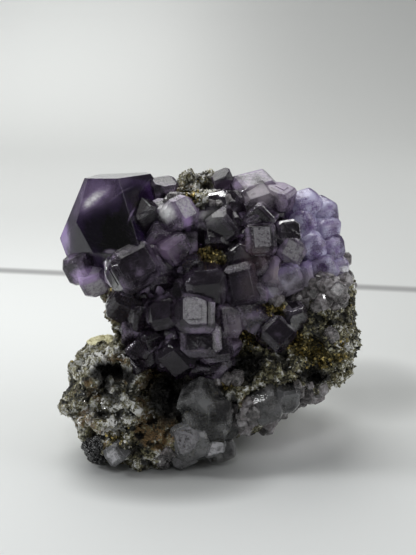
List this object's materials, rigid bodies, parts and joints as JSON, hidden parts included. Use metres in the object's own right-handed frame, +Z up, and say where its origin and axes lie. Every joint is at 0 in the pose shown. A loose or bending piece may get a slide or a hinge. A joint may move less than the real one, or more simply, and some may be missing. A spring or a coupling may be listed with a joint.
{
  "type": "fluorite on matrix",
  "caption": "Mineral specimen: intergrown dark purple bevelled cubic crystals over the top of a rough, pitted, granular matrix, standing on flats under the rock.",
  "frame": {"origin": "middle of the specimen's outline, at the level that it stands on", "axes": "+X to the right and along the display face, -Y the way the display face looks, +Z up"},
  "size_m": [0.0656, 0.0482, 0.0581],
  "materials": {
    "matrix": "rough granular rock with quartz, pyrite and rust",
    "purple_fluorite": "glassy, dark purple to clear, with frosted patches",
    "pale_fluorite": "glassy, nearly colourless",
    "sphalerite": "black, resinous grains",
    "calcite": "pale yellow, waxy"
  },
  "bodies": {
    "root": {"matrix_rock": "matrix", "fluorite_cluster": "purple_fluorite", "fluorite_side_pair": "purple_fluorite", "fluorite_front_group": "purple_fluorite", "fluorite_pale_pair": "pale_fluorite", "fluorite_toe_crystal": "pale_fluorite", "sphalerite_toe": "sphalerite", "calcite_lump": "calcite"}
  },
  "joints": []
}
